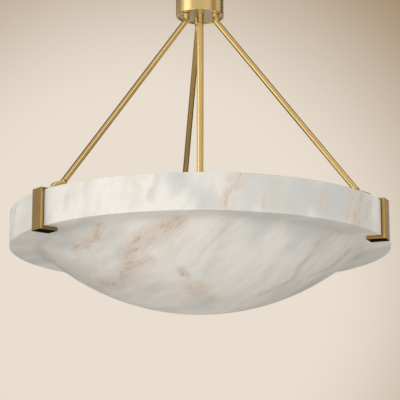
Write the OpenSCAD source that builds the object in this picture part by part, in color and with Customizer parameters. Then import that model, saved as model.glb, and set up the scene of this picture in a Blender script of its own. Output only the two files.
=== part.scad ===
// Bowl chandelier: a shallow stone bowl held at its rim by three flat brackets,
// each hung from the ceiling canopy by a bent tube, with a lamp cluster on a centre stem.
// Millimetres, +Z up. The origin is the middle of the ceiling bar's top face, on the ceiling.

/* [Bowl] */
// Outside diameter of the bowl
bowl_d = 914; // [860:1:1000]
// Height of the upright band round the bowl
band_h = 84; // [70:1:110]
// Wall of the band
band_wall = 20; // [14:0.5:24]
// Thickness of the bowl's floor and dome
floor_t = 13; // [9:0.5:20]
// Depth of the dome below the band
dome_depth = 149; // [125:1:160]
// Radius of the dome's ball shape
dome_r = 577; // [560:1:620]
// Radius of the hollow curve between flat and dome
cove_r = 45; // [25:1:70]
// Rounding of the band's edges
edge_r = 2; // [1:0.25:3]

/* [Canopy] */
// Outside diameter of the canopy
canopy_d = 120; // [118:1:136]
// Height of the canopy
canopy_h = 50; // [46:1:64]
// Wall of the canopy drum
canopy_wall = 2; // [1.5:0.25:2.5]
// Depth of the bottom plate inside the drum
plate_recess = 2.5; // [2.5:0.5:6]
// Thickness of the bottom plate
plate_t = 4; // [3:0.5:5]
// Width of the step that carries the plate
step_w = 2.5; // [2:0.5:4]

/* [Ceiling bar] */
// Distance between the two box screws
box_screw_spacing = 88.9; // [82:0.1:90]
// Width of the slots for the box screws
slot_w = 4.8; // [4.4:0.1:5.4]
// Length of the slots, end to end
slot_l = 14; // [10:0.5:15]
// Width of the bar
bar_w = 20; // [16:1:22]
// Thickness of the bar and its ears
bar_t = 3; // [2:0.5:3.5]
// Length of the ears that are bent down
ear_l = 18; // [16:1:22]

/* [Hanging] */
// Drop from the canopy's rim to the bowl's band, lower edge
drop = 591; // [520:1:760]
// Outside diameter of the three arms
arm_d = 14.5; // [13:0.5:16]
// Bore of the three arms
arm_bore = 11; // [9:0.5:11.5]
// Distance of each arm from the middle at the canopy
arm_circle_r = 42; // [38:1:44]
// Length of arm below the canopy's rim before it turns out
arm_neck = 17; // [14:1:24]
// Radius of the arm's bend
arm_bend_r = 18; // [14:1:22]
// Outside diameter of the centre stem
stem_d = 17; // [15:0.5:20]
// Bore of the centre stem
stem_bore = 13; // [11:0.5:13.5]

/* [Rim brackets] */
// Width of each bracket
bracket_w = 36.5; // [30:0.5:44]
// Thickness of the bracket's outer plate
bracket_t = 8; // [5:0.5:10]
// Thickness of the lip under the bowl
lip_t = 7; // [5:0.5:9]
// Length of the lip from the outer face
lip_l = 46; // [36:1:50]
// Thickness of the strap over the rim
strap_t = 3; // [3:0.5:5]
// Thickness of the pad above and below the rim
pad_t = 1.2; // [0.8:0.1:2]
// Thickness of the pad behind the outer plate
back_pad_t = 1.5; // [1:0.1:2.5]
// Bevel on the bracket's edges
bracket_bevel = 0.8; // [0.4:0.1:1.2]

/* [Elbows] */
// Diameter of each elbow
elbow_d = 12; // [12:0.5:14]
// Distance from the bowl's outer face to the elbow's foot
elbow_inset = 31; // [29:0.5:34]
// Reach of the elbow from its foot to the arm
elbow_reach = 28; // [25:0.5:34]
// Rise of the elbow from the rim's top to the arm
elbow_rise = 25.5; // [24:0.5:32]
// Angle of the elbow's upper leg above level
elbow_slope = 20; // [8:1:22]
// Radius of the elbow's bend
elbow_bend_r = 12; // [9:0.5:12]
// Diameter of the ring between arm and elbow
ring_d = 16.5; // [16:0.5:18]
// Thickness of that ring
ring_t = 2.5; // [1.5:0.25:3]

/* [Lamps] */
// Distance of the lamps from the middle
lamp_circle_r = 128; // [115:1:170]
// Depth of the socket arms below the band's lower edge
lamp_drop = 55; // [40:1:60]
// Outside diameter of the cluster cup
cluster_d = 76; // [66:1:90]
// Height of the cluster cup
cluster_h = 26; // [22:1:32]
// Outside diameter of the socket arms
socket_arm_d = 10; // [9:0.5:11]
// Outside diameter of the socket cups
socket_cup_d = 42; // [41:0.5:46]
// Height of the socket cups
socket_cup_h = 32; // [30:1:40]
// Outside diameter of a lamp's globe
globe_d = 60; // [56:1:66]
// Length of a lamp from its contact to its top
lamp_l = 106; // [100:1:112]

/* [Hidden] */
$fn = 96;
arm_angles = [90, 210, 330];
lamp_angles = [0, 60, 120, 180, 240, 300];
lead_angles = [30, 150, 270];
fit_gap = 0.05;        // between a screw or pin and its hole
touch_gap = 0.3;       // between parts that move apart
cut = 1;               // how far a cutter runs past a face
lap = 0.5;             // how far a straight stretch runs into the bend that it joins
seam = 0.05;           // how far a bend stands proud of its straight stretches
wide = 400;            // larger than any half that is cut away

// Heights
ring_z = -(canopy_h + drop);
rim_z = ring_z + band_h;
plate_z = -canopy_h + plate_recess;
plate_top_z = plate_z + plate_t;
lamp_z = ring_z - lamp_drop;

// Bowl
bowl_r = bowl_d / 2;
dome_centre_z = dome_r - dome_depth;
cove_x = sqrt(pow(dome_r + cove_r, 2) - pow(dome_centre_z + cove_r, 2));
cove_share = dome_r / (dome_r + cove_r);
tangent_z = dome_centre_z - (dome_centre_z + cove_r) * cove_share;
inner_share = (dome_r - floor_t) / (dome_r + cove_r);
inner_tangent_z = dome_centre_z - (dome_centre_z + cove_r) * inner_share;

// Canopy
canopy_r = canopy_d / 2;
drum_bore_r = canopy_r - canopy_wall;
step_h = 2;
canopy_edge_r = 1.4;
side_screw_z = -10;
side_screw_r = 2.5;
side_head_r = 4.2;
side_head_h = 2.6;
bar_half_w = bar_w / 2;
bar_clear = 0.5;
ear_y = sqrt(pow(drum_bore_r - bar_clear, 2) - pow(bar_half_w, 2));
ground_y = 18;
ground_r = 2;
ground_head_r = 4.2;
ground_head_h = 3;
wire_hole_r = 5.5;

// Threaded ends, nuts and washers on the canopy plate
thread_r = 5;
thread_bore_r = 3.6;
nut_flats = 16;
nut_h = 8;
washer_r = 10.2;
washer_t = 1.5;
locknut_flats = 16;
locknut_h = 5;
thread_end = 3;
thread_z = plate_top_z + locknut_h + thread_end;
arm_top_z = plate_z - washer_t - nut_h;

// Arm and elbow, in the upright plane through one arm: x is out from the middle
turn_z = -(canopy_h + arm_neck);
foot_x = bowl_r - elbow_inset;
strap_z = rim_z + pad_t;
foot_z = strap_z + strap_t;
knuckle_x = foot_x - elbow_reach;
knuckle_z = rim_z + elbow_rise;
arm_tilt = atan2(knuckle_x - arm_circle_r, turn_z - knuckle_z);
arm_span = norm([knuckle_x - arm_circle_r, turn_z - knuckle_z]);
arm_tangent = arm_bend_r * tan(arm_tilt / 2);
bend_x = arm_circle_r + arm_bend_r;
bend_z = turn_z + arm_tangent;
slant_x = bend_x - arm_bend_r * cos(arm_tilt);
slant_z = bend_z - arm_bend_r * sin(arm_tilt);
ring_seat = 4.9;       // from the knuckle's middle to the ring
slant_l = arm_span - arm_tangent - ring_seat - ring_t;
arm_shoulder_z = arm_top_z - 3;
plug_l = 16;
stud_r = 3;
stud_depth = 3;
stud_grip = 13;

elbow_turn = 90 - elbow_slope;
elbow_corner_z = knuckle_z - elbow_reach * tan(elbow_slope);
elbow_tangent = elbow_bend_r * tan(elbow_turn / 2);
elbow_bend_x = foot_x - elbow_bend_r;
elbow_bend_z = elbow_corner_z - elbow_tangent;
elbow_leg_x = elbow_bend_x + elbow_bend_r * cos(elbow_turn);
elbow_leg_z = elbow_bend_z + elbow_bend_r * sin(elbow_turn);
knuckle_bend_r = 8;
knuckle_turn = elbow_turn - arm_tilt;
knuckle_tangent = knuckle_bend_r * tan(knuckle_turn / 2);
knuckle_bend_x = knuckle_x - knuckle_tangent * sin(arm_tilt) + knuckle_bend_r * cos(arm_tilt);
knuckle_bend_z = knuckle_z + knuckle_tangent * cos(arm_tilt) + knuckle_bend_r * sin(arm_tilt);
elbow_leg_l = elbow_reach / cos(elbow_slope) - elbow_tangent - knuckle_tangent;

// Bracket
plate_in_x = bowl_r + back_pad_t;
plate_out_x = plate_in_x + bracket_t;
lip_in_x = plate_out_x - lip_l;
lip_top_z = ring_z - pad_t;
lip_z = lip_top_z - lip_t;
strap_screw_r = 2.5;
strap_head_r = 4.6;
strap_head_h = 2;
strap_screw_l = 10;

// Stem and cable
stem_top_z = plate_z;
lid_t = 2;
cluster_r = cluster_d / 2;
cluster_wall = 1.6;
cluster_z = lamp_z - cluster_h / 2;
lid_z = lamp_z + cluster_h / 2;
stem_end_z = lid_z + lid_t;
stem_plug_l = 16;
nipple_tail = 6;
finial_r = 9;
finial_h = 12;
cable_r = 3.1;
bush_t = 2;
bush_r = 6;
cable_top_z = thread_z + bush_t;
socket_lead_r = 1.2;
cable_end_z = lamp_z - 2 * socket_lead_r;

// Leads and wire connectors in the canopy
lead_r = 1.2;
lead_start_r = 1.8;
lead_bend_r = 8;
lead_end_r = lead_start_r + 2 * lead_bend_r;
lead_rise = (-bar_t - 2 - lead_r - lead_bend_r) - cable_top_z;
lead_bend_z = cable_top_z + lead_rise;
connector_r = 5.5;
connector_tip_r = 3.6;
connector_l = 15;
connector_wall = 1.2;
connector_z = lead_bend_z - connector_l;
lead_into = 9;

// Socket, lampholder and lamp
cap_r = 13;
cap_root_r = 12;
cap_pitch = 3.63;
cap_turns = 5;
cap_tip_r = 4.5;
cap_tip_h = 2;
cap_cone_h = 3;
cap_l = cap_tip_h + cap_cone_h + cap_turns * cap_pitch;
cap_show = 1;
socket_arm_bore = 7;
socket_cup_r = socket_cup_d / 2;
socket_cup_wall = 1.5;
holder_gap = 0.3;
holder_lip = 1;
holder_r = socket_cup_r - socket_cup_wall - holder_gap;
contact_r = 4;
contact_h = 1.5;
shell_r = 14.4;
shell_wall = 0.7;
shell_lap = 5;         // height of the socket lead above the shell's lower edge
shell_inset = 2;       // from the holder's mouth down to the shell
cap_rise = socket_cup_h + holder_lip + cap_show - cap_l;
socket_cup_z = lamp_z - cap_rise - shell_lap;
holder_z = socket_cup_z + socket_cup_wall;
holder_top_z = socket_cup_z + socket_cup_h + holder_lip;
cap_z = socket_cup_z + cap_rise;
contact_z = cap_z - touch_gap - contact_h;
shell_z = cap_z;
shell_l = holder_top_z - shell_inset - shell_z;
cap_thread_z = cap_z + cap_tip_h + cap_cone_h;
cap_top_z = cap_z + cap_l;
body_h = 26;
body_top_r = globe_d / 2 - 3;
globe_r = globe_d / 2;
globe_wall = 1.2;
globe_seat_z = cap_top_z + body_h;
globe_centre_z = cap_z + lamp_l - globe_r;

// Shared shapes

// Turns +X to face out along one arm
module at_arm(i) {
    rotate([0, 0, arm_angles[i]]) children();
}

module at_each_arm() {
    for (i = [0 : len(arm_angles) - 1]) at_arm(i) children();
}

// Moves to the axis of one lamp
module at_lamp(i) {
    rotate([0, 0, lamp_angles[i]]) translate([lamp_circle_r, 0, 0]) children();
}

module at_each_lamp() {
    for (i = [0 : len(lamp_angles) - 1]) at_lamp(i) children();
}

// Upright round bar or tube from height z
module post(r, h, z, bore = 0) {
    translate([0, 0, z]) difference() {
        cylinder(r = r, h = h);
        if (bore > 0) translate([0, 0, -cut]) cylinder(r = bore, h = h + 2 * cut);
    }
}

// Hexagonal nut from height z, measured across its flats
module hex_nut(flats, h, z, bore) {
    translate([0, 0, z]) difference() {
        cylinder(r = flats / 2 / cos(30), h = h, $fn = 6);
        translate([0, 0, -cut]) cylinder(r = bore, h = h + 2 * cut);
    }
}

// Part of a round bar bent in the XZ plane about the origin, from one angle through a turn
module bend(bend_r, r, from, turn) {
    rotate([90, 0, 0]) rotate([0, 0, from]) rotate_extrude(angle = turn) translate([bend_r, 0]) circle(r = r);
}

// What is outside a rounded corner that points along +x and +y, as a cutter
module corner_off(r) {
    difference() {
        translate([-r, -r]) square(r + cut);
        translate([-r, -r]) circle(r = r);
    }
}

// Bowl

// Half section below the band: flat, then hollow curve, then dome; grow moves it inwards
module under_section(grow, low_z) {
    intersection() {
        translate([0, dome_centre_z]) circle(r = dome_r - grow, $fn = 360);
        translate([0, -dome_depth - cut]) square([cove_x, dome_depth + cut + low_z]);
    }
    difference() {
        translate([0, low_z - cut / 100]) square([cove_x, grow - low_z + cut / 100]);
        translate([cove_x, -cove_r]) circle(r = cove_r + grow, $fn = 180);
    }
}

module bowl_section() {
    difference() {
        union() {
            square([bowl_r, band_h]);
            under_section(0, tangent_z);
        }
        translate([0, floor_t]) square([bowl_r - band_wall, band_h]);
        under_section(floor_t, inner_tangent_z);
        translate([bowl_r, band_h]) corner_off(edge_r);
        translate([bowl_r, 0]) mirror([0, 1]) corner_off(edge_r);
        translate([bowl_r - band_wall, band_h]) mirror([1, 0]) corner_off(edge_r);
    }
}

module bowl() {
    color("linen") translate([0, 0, ring_z]) rotate_extrude($fn = 240) bowl_section();
}

// Canopy

module canopy_drum() {
    color("goldenrod") difference() {
        rotate_extrude() difference() {
            translate([drum_bore_r - step_w, -canopy_h]) square([canopy_wall + step_w, canopy_h]);
            translate([drum_bore_r - step_w - cut, plate_z]) square([step_w + cut, canopy_h]);
            translate([drum_bore_r - step_w - cut, -canopy_h - cut])
                square([step_w + cut, plate_recess - step_h + cut]);
            translate([canopy_r, -canopy_h]) mirror([0, 1]) corner_off(canopy_edge_r);
        }
        translate([0, 0, side_screw_z]) rotate([90, 0, 0])
            cylinder(r = side_screw_r + touch_gap, h = canopy_d + 2 * cut, center = true);
    }
}

module canopy_plate() {
    color("lightgray") difference() {
        post(drum_bore_r - fit_gap, plate_t, plate_z);
        post(thread_r + fit_gap, plate_t + 2 * cut, plate_z - cut);
        at_each_arm() translate([arm_circle_r, 0, 0])
            post(thread_r + fit_gap, plate_t + 2 * cut, plate_z - cut);
    }
}

module slot(w, l, h) {
    for (side = [-1, 1]) translate([0, side * (l - w) / 2, 0]) cylinder(r = w / 2, h = h, center = true);
    cube([w, l - w, h], center = true);
}

module ceiling_bar() {
    color("silver") difference() {
        union() {
            translate([-bar_half_w, -ear_y, -bar_t]) cube([bar_w, 2 * ear_y, bar_t]);
            for (side = [0, 1]) mirror([0, side, 0])
                translate([-bar_half_w, ear_y - bar_t, -ear_l]) cube([bar_w, bar_t, ear_l]);
        }
        cylinder(r = wire_hole_r, h = 3 * bar_t, center = true);
        for (side = [-1, 1]) translate([0, side * box_screw_spacing / 2, 0]) slot(slot_w, slot_l, 3 * bar_t);
        translate([0, ground_y, 0]) cylinder(r = ground_r + fit_gap, h = 3 * bar_t, center = true);
        translate([0, 0, side_screw_z]) rotate([90, 0, 0])
            cylinder(r = side_screw_r + fit_gap, h = canopy_d, center = true);
    }
}

module ground_screw() {
    color("seagreen") translate([0, ground_y, 0]) {
        post(ground_r, bar_t, -bar_t);
        difference() {
            post(ground_head_r, ground_head_h, -bar_t - ground_head_h);
            translate([0, 0, -bar_t - ground_head_h]) cube([3 * ground_head_r, 1, 2], center = true);
        }
    }
}

module canopy_screws() {
    shank_l = canopy_r - ear_y + bar_t + 2;
    color("goldenrod") for (side = [0, 1]) mirror([0, side, 0])
        translate([0, canopy_r, side_screw_z]) rotate([-90, 0, 0]) {
            translate([0, 0, -shank_l]) cylinder(r = side_screw_r, h = shank_l);
            difference() {
                cylinder(r = side_head_r, h = side_head_h);
                translate([0, 0, side_head_h]) cube([1, 3 * side_head_r, 2], center = true);
            }
        }
}

// One insulated lead: up from the cable, over, and down into its connector
module lead(i) {
    rotate([0, 0, lead_angles[i]]) {
        translate([lead_start_r, 0, 0]) post(lead_r, lead_rise, cable_top_z);
        translate([lead_start_r + lead_bend_r, 0, lead_bend_z]) bend(lead_bend_r, lead_r, 0, 180);
        translate([lead_end_r, 0, 0]) post(lead_r, lead_into, lead_bend_z - lead_into);
    }
}

module live_lead() {
    color("dimgray") lead(0);
}

module neutral_lead() {
    color("white") lead(1);
}

module earth_lead() {
    color("seagreen") lead(2);
}

module wire_connectors() {
    color("orange") for (a = lead_angles) rotate([0, 0, a]) translate([lead_end_r, 0, connector_z])
        difference() {
            cylinder(r1 = connector_tip_r, r2 = connector_r, h = connector_l);
            translate([0, 0, connector_l - lead_into]) cylinder(r = lead_r + fit_gap, h = lead_into + cut);
            translate([0, 0, connector_l - 4])
                cylinder(r1 = lead_r + fit_gap, r2 = connector_r - connector_wall, h = 4.01);
        }
}

// Stem

module stem_tube() {
    color("goldenrod") difference() {
        post(stem_d / 2, stem_top_z - stem_end_z, stem_end_z);
        post(thread_r + fit_gap, stem_top_z - stem_end_z + 2 * cut, stem_end_z - cut);
        post(stem_bore / 2, stem_top_z - stem_end_z - 2 * stem_plug_l, stem_end_z + stem_plug_l);
    }
}

module stem_top_nipple() {
    start_z = stem_top_z - stem_plug_l;
    color("darkkhaki") post(thread_r, thread_z - start_z, start_z, thread_bore_r);
}

module stem_locknut() {
    color("silver") hex_nut(locknut_flats, locknut_h, plate_top_z, thread_r + fit_gap);
}

module stem_lower_nipple() {
    start_z = cluster_z - nipple_tail;
    color("darkkhaki") difference() {
        post(thread_r, stem_end_z + stem_plug_l - start_z, start_z, thread_bore_r);
        for (a = lamp_angles) rotate([0, 0, a]) translate([0, 0, lamp_z]) rotate([0, 90, 0])
            cylinder(r = socket_lead_r + fit_gap, h = 2 * thread_r);
    }
}

module stem_cable() {
    color("dimgray") post(cable_r, cable_top_z - cable_end_z, cable_end_z);
}

// A flanged collar in each nipple's upper mouth keeps the cable off the metal edge
module cable_bushes() {
    sleeve_l = 4;
    color("white") for (z = [thread_z, stem_end_z + stem_plug_l]) {
        post(bush_r, bush_t, z, cable_r + fit_gap);
        post(thread_bore_r - fit_gap, sleeve_l, z - sleeve_l, cable_r + fit_gap);
    }
}

// Arms

// Path of one arm: straight down, round the bend, which is proud by a hair, and out along the slant
module arm_path(r, proud, neck, slant) {
    translate([arm_circle_r, 0, 0]) post(r, neck + lap, bend_z - lap);
    translate([bend_x, 0, bend_z]) bend(arm_bend_r, r + proud, 180, arm_tilt);
    translate([slant_x, 0, slant_z]) rotate([0, 180 - arm_tilt, 0]) post(r, slant + lap, -lap);
}

module arm(i) {
    color("goldenrod") at_arm(i) difference() {
        union() {
            arm_path(arm_d / 2, seam, arm_top_z - bend_z, slant_l);
            translate([arm_circle_r, 0, 0]) post(thread_r, thread_z - arm_top_z + lap, arm_top_z - lap);
        }
        arm_path(arm_bore / 2, -seam, arm_shoulder_z - bend_z, slant_l - plug_l);
        translate([arm_circle_r, 0, 0])
            post(thread_bore_r, thread_z - arm_shoulder_z + 2 * cut, arm_shoulder_z - cut);
        at_knuckle() post(stud_r + fit_gap, plug_l + 2 * cut, ring_seat + ring_t - cut);
    }
}

module arm_nuts() {
    color("goldenrod") at_each_arm() translate([arm_circle_r, 0, 0])
        hex_nut(nut_flats, nut_h, arm_top_z, thread_r + fit_gap);
}

module arm_washers() {
    color("goldenrod") at_each_arm() translate([arm_circle_r, 0, 0])
        post(washer_r, washer_t, plate_z - washer_t, thread_r + fit_gap);
}

module arm_locknuts() {
    color("silver") at_each_arm() translate([arm_circle_r, 0, 0])
        hex_nut(locknut_flats, locknut_h, plate_top_z, thread_r + fit_gap);
}

// Moves to the knuckle and turns +Z to point up along the arm
module at_knuckle() {
    translate([knuckle_x, 0, knuckle_z]) rotate([0, -arm_tilt, 0]) children();
}

module arm_end_rings() {
    color("goldenrod") at_each_arm() at_knuckle() post(ring_d / 2, ring_t, ring_seat, stud_r + fit_gap);
}

module knuckle_studs() {
    color("silver") at_each_arm() at_knuckle()
        post(stud_r, stud_depth + ring_seat + ring_t + stud_grip, -stud_depth);
}

// One elbow: up from the strap, round its bend, along the leg and round again into the arm's line
module elbow(i) {
    r = elbow_d / 2;
    color("goldenrod") at_arm(i) difference() {
        union() {
            translate([foot_x, 0, 0]) post(r, elbow_bend_z - foot_z + lap, foot_z);
            translate([elbow_bend_x, 0, elbow_bend_z]) bend(elbow_bend_r, r + seam, 0, elbow_turn);
            translate([elbow_leg_x, 0, elbow_leg_z]) rotate([0, -elbow_turn, 0])
                post(r, elbow_leg_l + 2 * lap, -lap);
            translate([knuckle_bend_x, 0, knuckle_bend_z])
                bend(knuckle_bend_r, r + seam, 180 + arm_tilt, knuckle_turn);
            at_knuckle() post(r, ring_seat - knuckle_tangent + lap, knuckle_tangent - lap);
        }
        at_knuckle() post(stud_r + fit_gap, stud_depth + ring_seat + cut, -stud_depth - fit_gap);
        translate([foot_x, 0, 0]) post(strap_screw_r + fit_gap, strap_screw_l - strap_t + cut, foot_z - cut);
    }
}

// Brackets

// Section of the outer plate and lip, with bevelled edges
module bracket_section() {
    b = bracket_bevel;
    polygon([
        [plate_out_x, lip_z + b], [plate_out_x, foot_z - b], [plate_out_x - b, foot_z],
        [plate_in_x, foot_z], [plate_in_x, lip_top_z], [lip_in_x, lip_top_z],
        [lip_in_x, lip_z + b], [lip_in_x + b, lip_z], [plate_out_x - b, lip_z]]);
}

// Plan of the bracket, with the upright edges of its outer face bevelled
module bracket_plan() {
    b = bracket_bevel;
    w = bracket_w / 2;
    polygon([[lip_in_x, -w], [plate_out_x - b, -w], [plate_out_x, b - w],
        [plate_out_x, w - b], [plate_out_x - b, w], [lip_in_x, w]]);
}

module strap() {
    difference() {
        union() {
            translate([foot_x, -bracket_w / 2, strap_z])
                cube([plate_in_x - foot_x + cut, bracket_w, strap_t]);
            translate([foot_x, 0, 0]) post(bracket_w / 2, strap_t, strap_z);
        }
        translate([foot_x, 0, 0]) {
            post(strap_screw_r + fit_gap, strap_t + 2 * cut, strap_z - cut);
            translate([0, 0, strap_z]) cylinder(r1 = strap_head_r, r2 = strap_screw_r, h = strap_head_h);
        }
    }
}

module rim_bracket(i) {
    color("goldenrod") at_arm(i) {
        intersection() {
            rotate([90, 0, 0]) linear_extrude(bracket_w, center = true) bracket_section();
            translate([0, 0, lip_z]) linear_extrude(foot_z - lip_z) bracket_plan();
        }
        strap();
    }
}

// One side of the liner: a flat strip from x to the bracket's outer plate, as wide as the bracket's face
module pad_strip(x, z, h) {
    w = bracket_w - 2 * bracket_bevel;
    translate([x, -w / 2, z]) cube([plate_in_x - x, w, h]);
}

// Liner between one bracket and the stone: above, behind and below the rim
module rim_pads() {
    color("saddlebrown") at_each_arm() {
        pad_strip(bowl_r - band_wall, rim_z, pad_t);
        pad_strip(bowl_r + fit_gap, lip_top_z, strap_z - lip_top_z);
        pad_strip(lip_in_x, lip_top_z, pad_t);
    }
}

module elbow_screws() {
    color("silver") at_each_arm() translate([foot_x, 0, 0]) {
        post(strap_screw_r, strap_screw_l, strap_z);
        translate([0, 0, strap_z]) cylinder(r1 = strap_head_r, r2 = strap_screw_r, h = strap_head_h);
    }
}

// Lamp cluster

module cluster_cup() {
    color("goldenrod") difference() {
        post(cluster_r, cluster_h, cluster_z);
        post(cluster_r - cluster_wall, cluster_h, cluster_z + cluster_wall);
        post(thread_r + fit_gap, cluster_h, cluster_z - cut);
        for (a = lamp_angles) rotate([0, 0, a]) translate([0, 0, lamp_z]) rotate([0, 90, 0])
            cylinder(r = socket_arm_d / 2 + fit_gap, h = cluster_d);
    }
}

module cluster_lid() {
    color("goldenrod") post(cluster_r, lid_t, lid_z, thread_r + fit_gap);
}

module cluster_finial() {
    color("goldenrod") difference() {
        union() {
            post(finial_r, finial_h / 2, cluster_z - finial_h / 2);
            intersection() {
                translate([0, 0, cluster_z - finial_h / 2]) sphere(r = finial_r);
                post(finial_r, finial_r, cluster_z - finial_h / 2 - finial_r);
            }
        }
        post(thread_r + fit_gap, nipple_tail + cut, cluster_z - nipple_tail);
    }
}

module socket_arms() {
    inner = cluster_r - cluster_wall;
    outer = lamp_circle_r - socket_cup_r + socket_cup_wall;
    color("goldenrod") for (a = lamp_angles) rotate([0, 0, a]) translate([0, 0, lamp_z]) rotate([0, 90, 0])
        translate([0, 0, inner]) difference() {
            cylinder(r = socket_arm_d / 2, h = outer - inner);
            translate([0, 0, -cut]) cylinder(r = socket_arm_bore / 2, h = outer - inner + 2 * cut);
        }
}

module socket_cups() {
    color("goldenrod") at_each_lamp() difference() {
        post(socket_cup_r, socket_cup_h, socket_cup_z);
        post(socket_cup_r - socket_cup_wall, socket_cup_h, socket_cup_z + socket_cup_wall);
        translate([0, 0, lamp_z]) rotate([0, -90, 0])
            cylinder(r = socket_arm_d / 2 + fit_gap, h = socket_cup_d);
    }
}

module lampholders() {
    color("ivory") at_each_lamp() difference() {
        post(holder_r, holder_top_z - holder_z, holder_z);
        post(shell_r + 2 * fit_gap, holder_top_z - contact_z + cut, contact_z);
        translate([0, 0, lamp_z]) rotate([0, -90, 0])
            cylinder(r = socket_lead_r + fit_gap, h = socket_cup_d);
    }
}

module screw_shells() {
    color("darkkhaki") at_each_lamp() post(shell_r, shell_l, shell_z, shell_r - shell_wall);
}

module centre_contacts() {
    color("darkkhaki") at_each_lamp() post(contact_r, contact_h, contact_z);
}

// One lead to each screw shell, through the nipple's side, the socket arm and the holder's wall
module socket_leads() {
    start = cable_r + fit_gap;
    color("dimgray") for (a = lamp_angles) rotate([0, 0, a]) translate([start, 0, lamp_z]) rotate([0, 90, 0])
        cylinder(r = socket_lead_r, h = lamp_circle_r - shell_r - fit_gap - start);
}

// Outline of the cap's rolled thread, one crest and one root to a turn
function thread_points() = [for (n = [0 : 2 * cap_turns - 1])
    [n % 2 == 0 ? cap_root_r : cap_r, cap_thread_z + (n + 0.5) * cap_pitch / 2]];

module bulb_cap(i) {
    color("silver") at_lamp(i) rotate_extrude() polygon(concat(
        [[0, cap_z], [cap_tip_r, cap_z], [cap_tip_r, cap_z + cap_tip_h], [cap_root_r, cap_thread_z]],
        thread_points(),
        [[cap_root_r, cap_top_z], [0, cap_top_z]]));
}

module bulb_body(i) {
    rise = globe_seat_z - cap_top_z;
    color("whitesmoke") at_lamp(i) translate([0, 0, cap_top_z]) {
        cylinder(r1 = cap_r, r2 = body_top_r - 2, h = rise - 4);
        translate([0, 0, rise - 4]) cylinder(r = body_top_r - 2, h = 4);
    }
}

module bulb_globe(i) {
    color("white") at_lamp(i) difference() {
        union() {
            translate([0, 0, globe_centre_z]) sphere(r = globe_r);
            post(body_top_r, globe_centre_z - globe_seat_z, globe_seat_z);
        }
        translate([0, 0, globe_centre_z]) sphere(r = globe_r - globe_wall);
        post(wide, wide, globe_seat_z - wide);
        post(body_top_r - globe_wall, globe_centre_z - globe_seat_z + cut, globe_seat_z - cut);
    }
}

ceiling_bar();
ground_screw();
canopy_drum();
canopy_plate();
canopy_screws();
live_lead();
neutral_lead();
earth_lead();
wire_connectors();
stem_tube();
stem_top_nipple();
stem_locknut();
stem_lower_nipple();
stem_cable();
cable_bushes();
arm(0);  // arm_1
arm(1);  // arm_2
arm(2);  // arm_3
arm_nuts();
arm_washers();
arm_locknuts();
arm_end_rings();
knuckle_studs();
elbow(0);  // elbow_1
elbow(1);  // elbow_2
elbow(2);  // elbow_3
elbow_screws();
rim_bracket(0);  // rim_bracket_1
rim_bracket(1);  // rim_bracket_2
rim_bracket(2);  // rim_bracket_3
rim_pads();
bowl();
cluster_cup();
cluster_lid();
cluster_finial();
socket_arms();
socket_cups();
lampholders();
screw_shells();
centre_contacts();
socket_leads();
bulb_cap(0);  // bulb_cap_1
bulb_cap(1);  // bulb_cap_2
bulb_cap(2);  // bulb_cap_3
bulb_cap(3);  // bulb_cap_4
bulb_cap(4);  // bulb_cap_5
bulb_cap(5);  // bulb_cap_6
bulb_body(0);  // bulb_body_1
bulb_body(1);  // bulb_body_2
bulb_body(2);  // bulb_body_3
bulb_body(3);  // bulb_body_4
bulb_body(4);  // bulb_body_5
bulb_body(5);  // bulb_body_6
bulb_globe(0);  // bulb_globe_1
bulb_globe(1);  // bulb_globe_2
bulb_globe(2);  // bulb_globe_3
bulb_globe(3);  // bulb_globe_4
bulb_globe(4);  // bulb_globe_5
bulb_globe(5);  // bulb_globe_6
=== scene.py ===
import math

import bmesh
import bpy
from mathutils import Euler, Matrix, Vector


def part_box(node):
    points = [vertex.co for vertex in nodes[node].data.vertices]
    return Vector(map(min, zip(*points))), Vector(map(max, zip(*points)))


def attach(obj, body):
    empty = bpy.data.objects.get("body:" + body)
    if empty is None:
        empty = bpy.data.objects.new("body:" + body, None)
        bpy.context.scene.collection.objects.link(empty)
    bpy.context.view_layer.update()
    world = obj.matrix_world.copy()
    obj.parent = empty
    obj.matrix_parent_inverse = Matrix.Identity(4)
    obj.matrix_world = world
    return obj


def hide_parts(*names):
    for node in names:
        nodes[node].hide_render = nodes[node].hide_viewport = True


# Dome chandelier. Sizes in the dictionaries are in mm, unless a note says otherwise.

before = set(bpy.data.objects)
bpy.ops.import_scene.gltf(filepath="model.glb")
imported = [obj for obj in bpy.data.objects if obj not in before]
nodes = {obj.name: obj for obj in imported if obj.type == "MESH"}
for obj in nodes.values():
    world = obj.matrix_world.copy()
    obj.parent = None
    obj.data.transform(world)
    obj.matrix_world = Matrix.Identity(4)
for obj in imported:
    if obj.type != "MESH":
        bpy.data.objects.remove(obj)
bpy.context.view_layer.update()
print("frame loaded:", len(nodes), "nodes")


# Small helpers

def mm(value):
    return value / 1000


def hexColor(code):
    channels = [int(code[i:i + 2], 16) / 255 for i in (1, 3, 5)]
    return [c / 12.92 if c <= 0.04045 else ((c + 0.055) / 1.055) ** 2.4 for c in channels] + [1]


def addNode(tree, kind, inputs=None, **settings):
    # An input is a plain value, a socket, or a node, which stands for its first output
    node = tree.nodes.new("ShaderNode" + kind)
    for name, value in settings.items():
        setattr(node, name, value)
    for name, value in (inputs or {}).items():
        if isinstance(value, bpy.types.Node):
            value = value.outputs[0]
        if isinstance(value, bpy.types.NodeSocket):
            tree.links.new(value, node.inputs[name])
        else:
            node.inputs[name].default_value = value
    return node


def startMaterial(name, look, metallic=0):
    material = bpy.data.materials.new(name)
    material.use_nodes = True
    tree = material.node_tree
    shader = tree.nodes["Principled BSDF"]
    shader.inputs["Base Color"].default_value = hexColor(look["color"])
    shader.inputs["Metallic"].default_value = metallic
    shader.inputs["Roughness"].default_value = look["roughness"]
    if "ior" in look:
        shader.inputs["IOR"].default_value = look["ior"]
    place = addNode(tree, "TexCoord").outputs["Object"]
    return material, tree, shader, place


# Camera, at the photograph's place

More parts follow.
